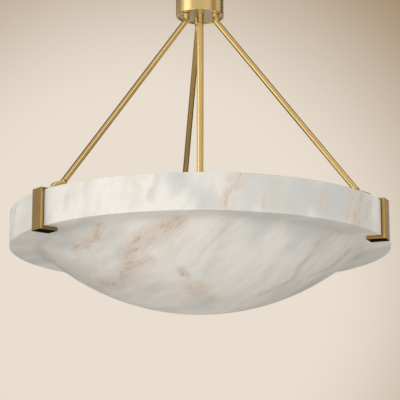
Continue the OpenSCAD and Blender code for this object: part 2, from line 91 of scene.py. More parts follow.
camera = {
    "turn": 7.84,          # degrees from the front towards -X
    "distance": 4035,      # level, from the stem
    "bandZ": -641,         # the band's lower edge
    "belowBand": 788.75,   # from there down to the camera
    "pitch": 12.76,        # degrees upwards
    "aim": 0.008,          # degrees that the stem stands right of the middle
    "lens": 153.71,
    "sensor": 36,
    "clipEnd": 100,        # m
}


def makeCamera():
    turn = math.radians(camera["turn"])
    data = bpy.data.cameras.new("photoCamera")
    data.lens = camera["lens"]
    data.sensor_width = camera["sensor"]
    data.clip_end = camera["clipEnd"]
    item = bpy.data.objects.new("photoCamera", data)
    reach = mm(camera["distance"])
    height = mm(camera["bandZ"] - camera["belowBand"])
    item.location = (-reach * math.sin(turn), -reach * math.cos(turn), height)
    item.rotation_euler = (math.radians(90 + camera["pitch"]), 0, -turn + math.radians(camera["aim"]))
    bpy.context.scene.collection.objects.link(item)
    bpy.context.scene.camera = item


makeCamera()
print("camera placed")


# Room: a beige backdrop, soft light from all round, a pale floor, and boards for the metal to reflect

room = {
    "skyColor": "#FFFDFA",
    "skyLight": 0.78,           # strength
    "backdrop": "#E9DED0",      # in the middle of the backdrop's pool of light
    "backdropEdge": "#937651",  # round the pool
    "backdropFar": "#DDD2C4",   # on the other walls
    # The pool's middle, right and up of the photograph's middle, and how far off it the colours change:
    # shares of the distance
    "pool": (-0.03, -0.045),
    "poolFrom": 0.10,
    "poolTo": 0.26,
    "farFrom": 0.32,
    "farTo": 0.75,
    "floorZ": -8000,            # far below, as in a tall stairwell, so that the lamps leave no pool on it
    "floorSize": 200,           # m
    "floorColor": "#D2CFCA",
    "floorRough": 0.9,
    "floorPlain": 9,            # m from the bar where the floor starts to fade into the walls
    "floorGone": 20,            # m
    "facing": 0.2,              # m above the band's edge: where lamps and boards face
}


def visibleRays(tree):
    # 1 for rays from the camera, a reflection or through glass, so that metal shows the backdrop too
    ray = addNode(tree, "LightPath").outputs
    seen = addNode(tree, "Math", {0: ray["Is Camera Ray"], 1: ray["Is Glossy Ray"]}, operation="ADD")
    return addNode(tree, "Math", {0: seen, 1: ray["Is Transmission Ray"]}, operation="ADD", use_clamp=True)


def makeWorld():
    world = bpy.data.worlds.new("room")
    bpy.context.scene.world = world
    world.use_nodes = True
    tree = world.node_tree
    tree.nodes.clear()
    turn, pitch = math.radians(camera["turn"]), math.radians(camera["pitch"])
    ahead = Vector((math.sin(turn) * math.cos(pitch), math.cos(turn) * math.cos(pitch), math.sin(pitch)))
    right = Vector((math.cos(turn), -math.sin(turn), 0))
    middle = ahead + right * room["pool"][0] + right.cross(ahead) * room["pool"][1]
    way = addNode(tree, "TexCoord").outputs["Generated"]
    off = addNode(tree, "VectorMath", {0: way, 1: middle}, operation="DISTANCE").outputs["Value"]
    edge = addNode(tree, "MapRange", {"Value": off, "From Min": room["poolFrom"], "From Max": room["poolTo"]},
                   interpolation_type="SMOOTHSTEP")
    far = addNode(tree, "MapRange", {"Value": off, "From Min": room["farFrom"], "From Max": room["farTo"]},
                  interpolation_type="SMOOTHSTEP")
    pool = addNode(tree, "Mix", {0: edge, 6: hexColor(room["backdrop"]), 7: hexColor(room["backdropEdge"])},
                   data_type="RGBA")
    tint = addNode(tree, "Mix", {0: far, 6: pool.outputs[2], 7: hexColor(room["backdropFar"])},
                   data_type="RGBA")
    light = addNode(tree, "Background", {"Color": hexColor(room["skyColor"]), "Strength": room["skyLight"]})
    backdrop = addNode(tree, "Background", {"Color": tint.outputs[2], "Strength": 1})
    mixed = addNode(tree, "MixShader", {0: visibleRays(tree), 1: light, 2: backdrop})
    addNode(tree, "OutputWorld", {"Surface": mixed})


def makeSheet(name, wide, high, z=0):
    x, y = wide / 2, high / 2
    data = bpy.data.meshes.new(name)
    data.from_pydata([(-x, -y, z), (x, -y, z), (x, y, z), (-x, y, z)], [], [(0, 1, 2, 3)])
    item = bpy.data.objects.new(name, data)
    bpy.context.scene.collection.objects.link(item)
    return item


def makeFloor():
    item = makeSheet("floor", room["floorSize"], room["floorSize"], mm(room["floorZ"]))
    # Painted screed, matt: takes the shadow near the middle and fades into the walls further out
    look = {"color": room["floorColor"], "roughness": room["floorRough"]}
    material, tree, shader, place = startMaterial("paintedScreed", look)
    away = addNode(tree, "VectorMath", {0: place}, operation="LENGTH").outputs["Value"]
    fade = addNode(tree, "MapRange", {"Value": away, "From Min": room["floorPlain"],
                                      "From Max": room["floorGone"]}, interpolation_type="SMOOTHSTEP")
    gone = addNode(tree, "Math", {0: visibleRays(tree), 1: fade}, operation="MULTIPLY")
    glow = addNode(tree, "Emission", {"Color": hexColor(room["backdropFar"]), "Strength": 1})
    mixed = addNode(tree, "MixShader", {0: gone, 1: shader, 2: glow})
    tree.links.new(mixed.outputs[0], tree.nodes["Material Output"].inputs["Surface"])
    item.data.materials.append(material)


lights = {
    # Degrees round to the left of the camera, height above the band's edge, distance and size in m,
    # power in W
    "key": {"left": 40, "up": -0.75, "away": 3.6, "size": (2.3, 2.3), "power": 29, "color": "#FFFDFA"},
    "low": {"left": -26, "up": -1.45, "away": 3.6, "size": (2.6, 1.5), "power": 25, "color": "#FFFDFA"},
    "back": {"left": 200, "up": 1.2, "away": 3.4, "size": (2.2, 2.2), "power": 12, "color": "#FFFFFF"},
    # Soft panels that only show as a sheen on the metal
    "panel": {"left": 65, "up": 1.3, "away": 3.2, "size": (1.9, 2.6), "power": 17, "color": "#FFFAF0",
              "onlySheen": True},
    "highPanel": {"left": -42, "up": 3.1, "away": 3.2, "size": (1.7, 1.7), "power": 7.5, "color": "#FFFAF0",
                  "onlySheen": True},
}

boards = {
    # Only reflections show them, and they draw the dark edges and streaks on the metal; placed as above
    "boardLeft": {"left": 132, "up": 3.75, "away": 3.2, "size": (4.6, 4.3), "color": "#3A2E1F"},
    "boardRight": {"left": -138, "up": 3.1, "away": 3.2, "size": (4.0, 4.2), "color": "#3A2E1F"},
    "lowLeft": {"left": 132, "up": -1.03, "away": 3.2, "size": (4.4, 3.05), "color": "#1E160D"},
    "lowRight": {"left": -132, "up": -1.03, "away": 3.2, "size": (4.4, 3.05), "color": "#1E160D"},
    "boardNarrow": {"left": -66, "up": 1.2, "away": 3.0, "size": (1.35, 3.6), "color": "#B8A586"},
}


def aimed(look):
    # A place round the object, facing the middle of its height
    angle = math.radians(-90 - camera["turn"] - look["left"])
    away, bandZ = look["away"], mm(camera["bandZ"])
    aim = Vector((0, 0, bandZ + room["facing"]))
    spot = Vector((away * math.cos(angle), away * math.sin(angle), bandZ + look["up"]))
    return Matrix.Translation(spot) @ (aim - spot).to_track_quat("-Z", "Y").to_matrix().to_4x4()


def makeLights():
    for name, look in lights.items():
        data = bpy.data.lights.new(name, "AREA")
        data.shape = "RECTANGLE"
        data.size, data.size_y = look["size"]
        data.energy = look["power"]
        data.color = hexColor(look["color"])[:3]
        item = bpy.data.objects.new(name, data)
        item.matrix_world = aimed(look)
        item.visible_diffuse = "onlySheen" not in look
        bpy.context.scene.collection.objects.link(item)


def makeBoards():
    for name, look in boards.items():
        # Wool felt, dull, so that a board gives no glare of its own
        material = startMaterial(name + "Felt", {"color": look["color"], "roughness": 1})[0]
        item = makeSheet(name, *look["size"])
        item.data.materials.append(material)
        item.matrix_world = aimed(look)
        for ray in ("camera", "diffuse", "shadow", "transmission"):
            setattr(item, "visible_" + ray, False)


makeWorld()
makeFloor()
makeLights()
makeBoards()
bpy.context.scene.view_settings.view_transform = "Standard"
print("room ready")


# Honed alabaster: soft white to grey stone that light enters a little, with clouds and feathery tan veins

stone = {
    "color": "#E6E4E0",
    "roughness": 0.4,
    "white": "#F4F2EE",
    "grey": "#D6D8D7",
    "cream": "#E4DCD2",
    "blush": "#DACAB9",
    "tan": "#CAB29C",
    "vein": "#AC8E75",
    "along": (0.40, -0.85, 0.35),   # the veins' run across the dome
    "across": (0.90, 0.38, -0.20),  # square to the beds that the veins lie in
    # How the beds wander, and a vein's edge: size of the bends, how far, and the noise's detail
    "bend": (260, 34, 3),
    "shake": (30, 6, 4),
    # Length, width and thickness of the beds; scale, detail, roughness and distortion of their noise
    "cloudBed": ((300, 200, 110), 1.3, 4, 0.5),
    "streakBed": ((110, 50, 14), 1, 5, 0.6),
    "hazeBed": ((170, 110, 48), 1.2, 5, 0.58),
    "featherBed": ((40, 26, 8), 1, 6, 0.66, 0.2),
    "lineBed": ((210, 150, 26), 1, 3, 0.5),
    "specks": 7,               # size of the dark specks in a vein
    "zones": 170,              # size of the places that hold veins by themselves
    "ownFrom": -120,           # along Y: nearer the front than this, only the veins below show
    "ownTo": 120,
    # Where a layer starts to show in its noise, where it shows in full, and how strongly then
    "zone": (0.5, 0.7, 0.8),
    "cloud": (0.34, 0.7, 1),
    "streak": (0.42, 0.72, 0.28),
    "haze": (0.46, 0.7, 0.5),
    "smudge": (0.44, 0.68, 1),
    "dark": (0.48, 0.68, 1),
    "speck": (0.42, 0.64, 1),
    "darkInVeins": (0.35, 1, 0.65),
    "ridge": (0.016, 0, 0.5),      # off the middle between two beds
    "brokenLine": (0.3, 0.56, 1),  # a vein's thin line, broken up by the feathers
    # How strongly a layer shows where the stone is rich in veins
    "creamInVeins": 0.55,
    "blushInVeins": 0.4,
    "smudgeInVeins": 0.66,
    "smudgeElsewhere": 0.045,
    "lineInVeins": 0.1,
    "fade": 1.3,               # where a vein or cloud has faded out, as a share of its reach
    "glossier": 0.06,          # roughness, down and up with the feathers
    "duller": 0.08,
    "bump": 0.05,
    "bumpHeight": 0.4,
    "under": 12,               # how far light travels in the stone
    "underShare": 0.25,
    "underTint": (1, 0.95, 0.88),
    # Large pale and grey places of the photograph: points, reach, and how much greyer
    "clouds": [
        ([(-90, -270, -708), (60, -250, -722), (190, -170, -730), (300, -130, -685)], 150, -0.22),
        ([(-338, -308, -600), (-230, -395, -600)], 120, -0.2),
        ([(-222, -399, -575), (-226, -397, -625)], 26, -0.3),
        ([(-105, -445, -575), (-44, -455, -619)], 40, 0.16),
        ([(60, -455, -600), (200, -411, -600), (320, -326, -600)], 70, 0.16),
        ([(-380, -230, -645), (-440, -60, -645)], 60, 0.16),
        ([(0, -430, -641), (330, -270, -641)], 40, 0.12),
    ],
    # Veins of the photograph: points, reach of the soft part and its strength, width and strength of the line
    "veins": [
        ([(-104, -367, -646), (-136, -337, -661), (-156, -315, -671), (-179, -280, -685), (-195, -243, -699),
          (-190, -191, -723), (-196, -135, -739), (-233, -57, -738)], 30, 0.85, 0, 0),
        ([(-148, -249, -712), (-190, -191, -723)], 20, 0.8, 0, 0),
        ([(-264, -279, -644), (-267, -242, -664), (-283, -217, -666), (-313, -149, -674)], 20, 0.75, 0, 0),
        ([(-76, -238, -733), (-64, -221, -741)], 15, 0.85, 0, 0),
        ([(-71, -228, -738), (-30, -170, -763)], 14, 0.3, 0, 0),
        ([(-36, -178, -760), (-22, -152, -768), (8, -106, -780)], 36, 0.62, 0, 0),
        ([(130, -116, -763), (196, -156, -733), (203, -203, -713), (224, -241, -687), (235, -271, -665),
          (266, -279, -643), (311, -255, -627)], 15, 0.5, 2.2, 0.5),
        ([(241, -131, -720), (295, -117, -695), (320, -135, -674), (336, -150, -657)], 12, 0.5, 2, 0.5),
        ([(390, 164, -641), (411, 133, -641), (452, 59, -641)], 12, 0.5, 2, 0.6),
        ([(-36, -305, -702), (-12, -340, -679), (15, -373, -653)], 12, 0.35, 1.6, 0.3),
        ([(324, -322, -563), (316, -331, -600), (302, -343, -636)], 24, 0.8, 1.8, 0.35),
        ([(298, -346, -566), (286, -356, -601), (277, -363, -625)], 14, 0.7, 1.8, 0.3),
        ([(350, -294, -575), (336, -309, -618)], 13, 0.65, 1.8, 0.35),
        ([(226, -397, -573), (215, -403, -609)], 9, 0.6, 1.6, 0.3),
        ([(82, -450, -598), (72, -451, -630)], 10, 0.4, 0, 0),
        ([(24, -456, -560), (6, -457, -596), (-8, -457, -628)], 26, 0.6, 0, 0),
        ([(-151, -431, -560), (-168, -425, -614)], 11, 0.6, 1.6, 0.35),
        ([(-201, -410, -570), (-195, -413, -615)], 20, 0.35, 0, 0),
        ([(-299, -346, -555), (-301, -344, -580)], 10, 0.35, 0, 0),
        ([(-444, -108, -556), (-452, -70, -614)], 9, 0.45, 1.8, 0.5),
        ([(-338, -308, -580), (-345, -300, -612)], 9, 0.3, 0, 0),
    ],
}


def letLightIn(shader, look):
    shader.inputs["Subsurface Weight"].default_value = look["underShare"]
    shader.inputs["Subsurface Radius"].default_value = look["underTint"]
    shader.inputs["Subsurface Scale"].default_value = mm(look["under"])


def honedAlabaster():
    look = stone
    material, tree, shader, place = startMaterial("honedAlabaster", look)
    across = Vector(look["across"]).normalized()
    along = (Vector(look["along"]) - across * across.dot(Vector(look["along"]))).normalized()
    turn = Matrix((along, across.cross(along), across)).transposed().to_euler()

    def wandered(source, size, far, detail):
        # The same places, pushed about
        noise = addNode(tree, "TexNoise", {"Vector": source, "Scale": 1 / mm(size), "Detail": detail})
        push = addNode(tree, "VectorMath", {0: noise.outputs["Color"], 1: (0.5, 0.5, 0.5)},
                       operation="SUBTRACT")
        push = addNode(tree, "VectorMath", {0: push, "Scale": mm(far) * 2}, operation="SCALE")
        return addNode(tree, "VectorMath", {0: source, 1: push}, operation="ADD")

    def bedded(source, size, scale, detail, roughness, distortion=0):
        # A noise that lies in flat beds along the veins
        beds = addNode(tree, "Mapping", {"Vector": source, "Rotation": turn, "Scale": [mm(v) for v in size]},
                       vector_type="TEXTURE")
        return addNode(tree, "TexNoise", {"Vector": beds, "Scale": scale, "Detail": detail,
                                          "Roughness": roughness, "Distortion": distortion})

    def offPath(source, points):
        # Distance from the nearest stretch of a path
        nearest = None
        for start, end in zip(points, points[1:]):
            start, run = Vector(start) / 1000, (Vector(end) - Vector(start)) / 1000
            local = addNode(tree, "VectorMath", {0: source, 1: start}, operation="SUBTRACT")
            share = addNode(tree, "VectorMath", {0: local, 1: run / run.length_squared},
                            operation="DOT_PRODUCT").outputs["Value"]
            share = addNode(tree, "Math", {0: share, 1: 0}, operation="ADD", use_clamp=True)
            onto = addNode(tree, "VectorMath", {0: run, "Scale": share}, operation="SCALE")
            gap = addNode(tree, "VectorMath", {0: local, 1: onto}, operation="DISTANCE").outputs["Value"]
            nearest = addNode(tree, "Math", {0: nearest, 1: gap}, operation="MINIMUM") if nearest else gap
        return nearest

    def joined(operation, other, value, start, full, strength):
        # Lets a value show between two levels, and joins it to what is there
        shown = addNode(tree, "MapRange", {"Value": value, "From Min": start, "From Max": full,
                                           "To Max": strength}, interpolation_type="SMOOTHSTEP")
        return addNode(tree, "Math", {0: other, 1: shown}, operation=operation)

    bent = wandered(place, *look["bend"])
    shaken = wandered(bent, *look["shake"])
    cloud = bedded(bent, *look["cloudBed"])
    streak = bedded(bent, *look["streakBed"])
    haze = bedded(bent, *look["hazeBed"])
    feather = bedded(shaken, *look["featherBed"])
    line = bedded(shaken, *look["lineBed"])
    speck = addNode(tree, "TexNoise", {"Vector": place, "Scale": 1 / mm(look["specks"]), "Detail": 3})
    zone = addNode(tree, "TexNoise", {"Vector": place, "Scale": 1 / mm(look["zones"]), "Detail": 1})

    # Where the stone is rich in veins: by chance away from the front, and along the photograph's veins
    depth = addNode(tree, "SeparateXYZ", {0: place}).outputs[1]
    chance = addNode(tree, "MapRange", {"Value": depth, "From Min": mm(look["ownFrom"]),
                                        "From Max": mm(look["ownTo"])}, interpolation_type="SMOOTHSTEP")
    rich = joined("MULTIPLY", chance, zone, *look["zone"])
    lines = addNode(tree, "Math", {0: rich, 1: look["lineInVeins"]}, operation="MULTIPLY")
    wavy = wandered(place, *look["shake"])
    for points, reach, strength, width, lineStrength in look["veins"]:
        far = offPath(wavy, points)
        rich = joined("MAXIMUM", rich, far, mm(reach) * look["fade"], 0, strength)
        if width:
            lines = joined("MAXIMUM", lines, far, mm(width), 0, lineStrength)

    # Pale and grey clouds with faint streaks, and a broad warm haze
    for points, reach, greyer in look["clouds"]:
        cloud = joined("ADD", cloud, offPath(place, points), mm(reach) * look["fade"], 0, greyer)
    cloud = joined("MULTIPLY", 1, cloud, *look["cloud"])
    streak = joined("MULTIPLY", 1, streak, *look["streak"])
    warm = addNode(tree, "Math", {0: rich, 1: look["creamInVeins"]}, operation="MULTIPLY")
    warm = joined("ADD", warm, haze, *look["haze"])
    blush = addNode(tree, "Math", {0: rich, 1: look["blushInVeins"]}, operation="MULTIPLY")

    # Feathery smudges along the beds, and dark specks in the richest places
    smudge = addNode(tree, "Math", {0: rich, 1: look["smudgeInVeins"]}, operation="MULTIPLY")
    smudge = addNode(tree, "Math", {0: smudge, 1: look["smudgeElsewhere"]}, operation="ADD", use_clamp=True)
    smudge = joined("MULTIPLY", smudge, feather, *look["smudge"])
    dark = joined("MULTIPLY", 1, speck, *look["speck"])
    dark = joined("MULTIPLY", dark, feather, *look["dark"])
    dark = joined("MULTIPLY", dark, rich, *look["darkInVeins"])

    # Thin lines, between the beds and along the photograph's veins
    ridge = addNode(tree, "Math", {0: line, 1: 0.5}, operation="SUBTRACT")
    ridge = addNode(tree, "Math", {0: ridge}, operation="ABSOLUTE")
    thin = addNode(tree, "Math", {0: rich, 1: chance}, operation="MULTIPLY")
    thin = joined("MULTIPLY", thin, ridge, *look["ridge"])
    broken = joined("MULTIPLY", lines, feather, *look["brokenLine"])
    thin = addNode(tree, "Math", {0: thin, 1: broken}, operation="ADD", use_clamp=True)

    color = hexColor(look["white"])
    for share, name in ((cloud, "grey"), (streak, "grey"), (warm, "cream"), (blush, "blush"), (smudge, "tan"),
                        (dark, "vein"), (thin, "vein")):
        layer = addNode(tree, "Mix", {0: share, 6: color, 7: hexColor(look[name])}, data_type="RGBA")
        color = layer.outputs[2]
    tree.links.new(color, shader.inputs["Base Color"])
    polish = addNode(tree, "MapRange", {"Value": feather, "To Min": look["roughness"] - look["glossier"],
                                        "To Max": look["roughness"] + look["duller"]})
    tree.links.new(polish.outputs[0], shader.inputs["Roughness"])
    bump = addNode(tree, "Bump", {"Height": feather, "Strength": look["bump"],
                                  "Distance": mm(look["bumpHeight"])})
    tree.links.new(bump.outputs[0], shader.inputs["Normal"])
    letLightIn(shader, look)
    return material


# Metals: a ground colour, a lighter one in the grain, and grain that runs along one direction

grain = {
    "tones": (0.7, 1.3),     # of grain and patches together: from the ground colour to the lighter one
    "polish": (0.25, 0.75),  # of the grain alone: from duller to glossier
    "duller": 0.02,
    "glossier": 0.01,
    "height": 0.3,           # of the bump, also on the soft materials
}

# "grain" is the grain's size along X, Y and Z, "patch" the size of the faint patches, and "bump" how
# strongly the grain stands out

metals = {
    # Brass, brushed along the tube and lacquered: satin, pale and warm, with long fine lines.
    # Real brushing is about 0.1 mm wide; it is drawn coarser so that it shows.
    "brushedBrass": {"color": "#E3C98E", "light": "#EED79E", "roughness": 0.24, "grain": (5, 5, 160),
                     "patch": 120, "bump": 0},
    # The same brass, drawn a shade darker on the arms than on the stem
    "darkerArmBrass": {"color": "#D6BB80", "light": "#E1C98F", "roughness": 0.24, "grain": (5, 5, 160),
                   "patch": 120, "bump": 0},
    # The same brass with painted shade: the back arm, which shows in shade and dark reflections, is drawn the
    # darkest
    "shadedArmBrass": {"color": "#B4995F", "light": "#C1A66C", "roughness": 0.24, "grain": (5, 5, 160),
                  "patch": 120, "bump": 0},
    # Brass sheet, scratch brushed to an even satin: a soft sheen and no mirror picture
    "satinBrass": {"color": "#DDC389", "light": "#E6CF98", "roughness": 0.48, "grain": (30, 30, 30),
                   "patch": 60, "bump": 0},
    # Brass, turned on a lathe: the lines run round, so streaks of light stand upright
    "turnedBrass": {"color": "#DDC389", "light": "#E6CF98", "roughness": 0.27, "grain": (160, 160, 5),
                    "patch": 120, "bump": 0},
    # Brass bar, brushed upright and toned darker than the tubes
    "barBrass": {"color": "#967F58", "light": "#A89166", "roughness": 0.36, "grain": (0.9, 0.9, 90),
                 "patch": 50, "bump": 0.06},
    # Brass, machined thread left bare
    "threadBrass": {"color": "#BFA266", "light": "#D2B77C", "roughness": 0.34, "grain": (30, 30, 0.8),
                    "patch": 30, "bump": 0.1},
    # Brass sheet, pressed thin and bright
    "pressedBrass": {"color": "#CDB070", "light": "#DCC389", "roughness": 0.3, "grain": (12, 12, 1),
                     "patch": 20, "bump": 0.06},
    # Steel, zinc plated: cool grey with faint spangle
    "zincSteel": {"color": "#AEB2B5", "light": "#C9CCCE", "roughness": 0.4, "grain": (5, 5, 5),
                  "patch": 14, "bump": 0.1},
    # Steel, green plated
    "greenSteel": {"color": "#2F6B45", "light": "#4A8A5F", "roughness": 0.38, "grain": (4, 4, 4),
                   "patch": 8, "bump": 0.1},
    # Steel, dull and dark: painted shade, a core in the joint rings' groove that stands for the shade there
    "grooveShadeSteel": {"color": "#15110C", "light": "#211B14", "roughness": 0.5, "grain": (8, 8, 0.8),
                   "patch": 8, "bump": 0.05},
    # Brass sheet, rolled and nickel plated
    "nickelCap": {"color": "#C6C6C3", "light": "#DADAD7", "roughness": 0.26, "grain": (14, 14, 0.7),
                  "patch": 15, "bump": 0.05},
    # Tin solder, cast in a small pool
    "solderTip": {"color": "#B5B4AE", "light": "#D0CFCA", "roughness": 0.35, "grain": (2, 2, 2),
                  "patch": 4, "bump": 0.2},
}


def metalFinish(name, look, turn=(0, 0, 0)):
    material, tree, shader, place = startMaterial(name, look, metallic=1)
    darkest, lightest = grain["tones"]
    dullest, glossiest = grain["polish"]
    along = addNode(tree, "Mapping", {"Vector": place, "Rotation": turn,
                                      "Scale": [mm(v) for v in look["grain"]]}, vector_type="TEXTURE")
    lines = addNode(tree, "TexNoise", {"Vector": along, "Scale": 1, "Detail": 2, "Roughness": 0.5})
    patch = addNode(tree, "TexNoise", {"Vector": place, "Scale": 1 / mm(look["patch"]), "Detail": 2})
    both = addNode(tree, "Math", {0: lines, 1: patch}, operation="ADD")
    share = addNode(tree, "MapRange", {"Value": both, "From Min": darkest, "From Max": lightest})
    color = addNode(tree, "Mix", {0: share, 6: hexColor(look["color"]), 7: hexColor(look["light"])},
                    data_type="RGBA")
    tree.links.new(color.outputs[2], shader.inputs["Base Color"])
    rough = addNode(tree, "MapRange", {"Value": lines, "From Min": dullest, "From Max": glossiest,
                                       "To Min": look["roughness"] + grain["duller"],
                                       "To Max": look["roughness"] - grain["glossier"]})
    tree.links.new(rough.outputs[0], shader.inputs["Roughness"])
    if look["bump"]:
        bump = addNode(tree, "Bump", {"Height": lines, "Strength": look["bump"],
                                      "Distance": mm(grain["height"])})
        tree.links.new(bump.outputs[0], shader.inputs["Normal"])
    return material


# The bar brass keeps its toned colour on the outer face, has a painted highlight on the sides, edges and
# strap, with painted shade on the sides nearer the stem, and is near-black under the lip

barTones = {
    "paintedHighlight": "#D0B16C",
    "sideRough": 0.28,
    "side": "#9A7D4B",           # painted shade on the sides, nearer the stem
    "black": "#1C150C",
    "highlightFrom": 460,           # from the stem: where the sides' painted highlight fades in
    "highlightTo": 465,
    "strapZ": -556,              # painted highlight on all above
    "blackUpTo": 0.15,           # from the lip's lower face
    "outwards": (0.75, 0.95),    # how squarely a face looks away from the stem: from the sides' painted highlight and shade to the toned colour
}


def barBrassFinish():
    look = barTones
    material = metalFinish("barBrass", metals["barBrass"])
    tree = material.node_tree
    shader = tree.nodes["Principled BSDF"]
    point = addNode(tree, "TexCoord").outputs
    height = addNode(tree, "SeparateXYZ", {0: point["Object"]}).outputs[2]
    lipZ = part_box("rim_bracket_1")[0].z
    # Near-black on the lip's lower face
    dark = addNode(tree, "Math", {0: height, 1: lipZ + mm(look["blackUpTo"])}, operation="LESS_THAN")
    level = addNode(tree, "VectorMath", {0: point["Object"], 1: (1, 1, 0)}, operation="MULTIPLY")
    outward = addNode(tree, "VectorMath", {0: level}, operation="NORMALIZE")
    facing = addNode(tree, "VectorMath", {0: point["Normal"], 1: outward}, operation="DOT_PRODUCT")
    facing = addNode(tree, "Math", {0: facing.outputs["Value"]}, operation="ABSOLUTE")
    toned = addNode(tree, "MapRange", {"Value": facing, "From Min": look["outwards"][0],
                                       "From Max": look["outwards"][1]})
    # Painted highlight on the sides near the outer face and on the strap, painted shade on the sides nearer
    # the stem
    radius = addNode(tree, "VectorMath", {0: level}, operation="LENGTH").outputs["Value"]
    bright = addNode(tree, "MapRange", {"Value": radius, "From Min": mm(look["highlightFrom"]),
                                        "From Max": mm(look["highlightTo"])})
    strap = addNode(tree, "Math", {0: height, 1: mm(look["strapZ"])}, operation="GREATER_THAN")
    bright = addNode(tree, "Math", {0: bright, 1: strap}, operation="MAXIMUM")
    bare = shader.inputs["Base Color"].links[0].from_socket
    sides = addNode(tree, "Mix", {0: bright, 6: hexColor(look["side"]), 7: hexColor(look["paintedHighlight"])},
                    data_type="RGBA")
    sides = addNode(tree, "Mix", {0: toned, 6: sides.outputs[2], 7: bare}, data_type="RGBA")
    color = addNode(tree, "Mix", {0: dark, 6: sides.outputs[2], 7: hexColor(look["black"])}, data_type="RGBA")
    tree.links.new(color.outputs[2], shader.inputs["Base Color"])
    bareRough = shader.inputs["Roughness"].links[0].from_socket
    rough = addNode(tree, "Mix", {0: toned, 2: look["sideRough"], 3: bareRough})
    rough = addNode(tree, "Math", {0: rough, 1: dark}, operation="MAXIMUM")
    tree.links.new(rough.outputs[0], shader.inputs["Roughness"])
    return material


# Brass disc, spun and scratch brushed in rings round the stem, greyer than the tubes.
# Real scratches are about 0.1 mm wide; the rings are drawn coarser so that they show.

plateBrass = {"color": "#BEB08F", "light": "#D2C6A8", "roughness": 0.42, "rings": 1.1}


def spunPlateFinish():
    look = plateBrass
    material, tree, shader, place = startMaterial("spunBrassPlate", look, metallic=1)
    flat = addNode(tree, "VectorMath", {0: place, 1: (1, 1, 0)}, operation="MULTIPLY")
    radius = addNode(tree, "VectorMath", {0: flat}, operation="LENGTH").outputs["Value"]
    ring = addNode(tree, "Math", {0: radius, 1: 1 / mm(look["rings"])}, operation="MULTIPLY")
    lines = addNode(tree, "TexNoise", {"W": ring, "Scale": 1, "Detail": 3}, noise_dimensions="1D")
    color = addNode(tree, "Mix", {0: lines, 6: hexColor(look["color"]), 7: hexColor(look["light"])},
                    data_type="RGBA")
    tree.links.new(color.outputs[2], shader.inputs["Base Color"])
    return material


# Plastics, rubber, porcelain and glass: "mottle" is the size of their faint unevenness

softs = {
    # PVC insulation: even colour with a slight drag from the extruder
    "blackInsulation": {"color": "#1B1A1A", "light": "#2B2A29", "roughness": 0.5, "ior": 1.53, "mottle": 9,
                        "bump": 0.1},
    "whiteInsulation": {"color": "#DEDCD6", "light": "#ECEAE5", "roughness": 0.48, "ior": 1.53, "mottle": 9,
                        "bump": 0.1},
    "greenInsulation": {"color": "#2C6E40", "light": "#3B8450", "roughness": 0.48, "ior": 1.53, "mottle": 9,
                        "bump": 0.1},
    # Polypropylene, moulded: orange with a soft shine
    "orangeConnector": {"color": "#D8641C", "light": "#E67A34", "roughness": 0.36, "ior": 1.49, "mottle": 12,
                        "bump": 0.08},
    # Nylon, moulded: milky white
    "whiteNylon": {"color": "#E6E3DA", "light": "#F1EFE8", "roughness": 0.45, "ior": 1.53, "mottle": 8,
                   "bump": 0.06},
    # Rubber strip, matt and dark brown
    "brownRubber": {"color": "#47382A", "light": "#564534", "roughness": 0.8, "ior": 1.52, "mottle": 6,
                    "bump": 0.3},
    # Porcelain, glazed: ivory with a wet shine
    "glazedPorcelain": {"color": "#E9E5DA", "light": "#F4F1E9", "roughness": 0.16, "ior": 1.5, "mottle": 14,
                        "bump": 0.05},
    # Glass of the cap's base, cast black
    "blackGlass": {"color": "#121113", "light": "#1F1E21", "roughness": 0.12, "ior": 1.52, "mottle": 6,
                   "bump": 0.04},
    # Polycarbonate lamp body, moulded: satin white
    "lampPlastic": {"color": "#E3E1DC", "light": "#EDEBE7", "roughness": 0.34, "ior": 1.58, "mottle": 20,
                    "bump": 0.03},
    # Opal glass, blown and frosted inside: milky white, light enters it
    "opalGlass": {"color": "#EDEBE6", "light": "#F4F3EF", "roughness": 0.2, "ior": 1.5, "mottle": 40,
                  "bump": 0.02, "under": 6, "underShare": 0.4, "underTint": (1, 0.97, 0.93)},
}


def mouldedFinish(name, look):
    material, tree, shader, place = startMaterial(name, look)
    mottle = addNode(tree, "TexNoise", {"Vector": place, "Scale": 1 / mm(look["mottle"]), "Detail": 4})
    color = addNode(tree, "Mix", {0: mottle, 6: hexColor(look["color"]), 7: hexColor(look["light"])},
                    data_type="RGBA")
    tree.links.new(color.outputs[2], shader.inputs["Base Color"])
    bump = addNode(tree, "Bump", {"Height": mottle, "Strength": look["bump"],
                                  "Distance": mm(grain["height"])})
    tree.links.new(bump.outputs[0], shader.inputs["Normal"])
    if "under" in look:
        letLightIn(shader, look)
    return material


# Where the repeated pieces stand, as in the frame: degrees round the stem, and distances from it

layout = {
    "armAngles": (90, 210, 330),
    "armCircle": 42,
    "lampAngles": (0, 60, 120, 180, 240, 300),
    "lampCircle": 128,
    "leadAngles": (30, 150, 270),
    "leadCircle": 17.8,
    "knuckleX": 398,               # where arm and elbow meet
    "knuckleZ": -531.5,
    "ringSeat": 4.9,               # from there up the arm to the ring
    "ringT": 2.5,
    "footX": 426,                  # the elbow's screw
    "turnZ": -67,                  # where an arm's neck and slant would meet
    "threadR": 5,
}
layout["armTilt"] = math.degrees(math.atan2(layout["knuckleX"] - layout["armCircle"],
                                            layout["turnZ"] - layout["knuckleZ"]))

